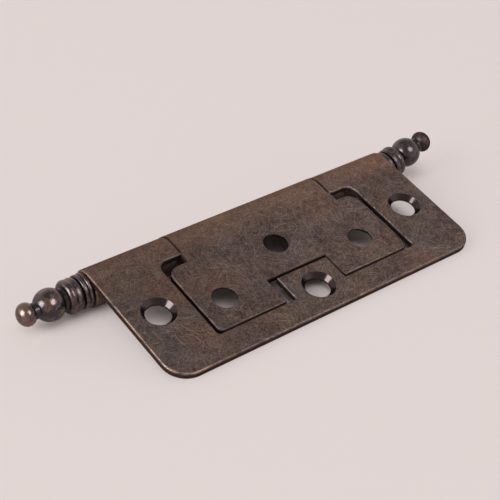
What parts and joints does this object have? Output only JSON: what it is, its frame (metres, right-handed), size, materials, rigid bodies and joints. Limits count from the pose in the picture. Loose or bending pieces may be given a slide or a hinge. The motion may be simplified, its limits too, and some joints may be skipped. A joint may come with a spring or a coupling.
{
  "type": "non-mortise hinge",
  "caption": "Non-mortise hinge: stamped leaves that nest one inside the other, a pin in a rolled barrel, and turned ball finials at the barrel's ends.",
  "frame": {"origin": "middle of the pin's axis, which is the hinge line", "axes": "+X along the pin, +Y away from the closed leaves, +Z square to the leaves, out of the outer leaf's countersunk face"},
  "size_m": [0.1065, 0.0334, 0.0085],
  "materials": {
    "leaf_bronze": "sheet steel, oil-rubbed bronze plating, satin, rubbed to copper on its edges",
    "pin_steel": "plain drawn steel, dull",
    "finial_bronze": "turned, dark bronze plating, glossy, worn brown on the crowns"
  },
  "bodies": {
    "outer_leaf": {"outer_leaf": "leaf_bronze", "hinge_pin": "pin_steel", "left_finial": "finial_bronze", "right_finial": "finial_bronze"},
    "inner_leaf": {"inner_leaf": "leaf_bronze"}
  },
  "joints": [
    {"name": "leaf_swing", "type": "hinge", "parent": "outer_leaf", "child": "inner_leaf", "pos_m": [0, 0, 0], "axis": [-1, 0, 0], "range_deg": [0, 180]}
  ]
}
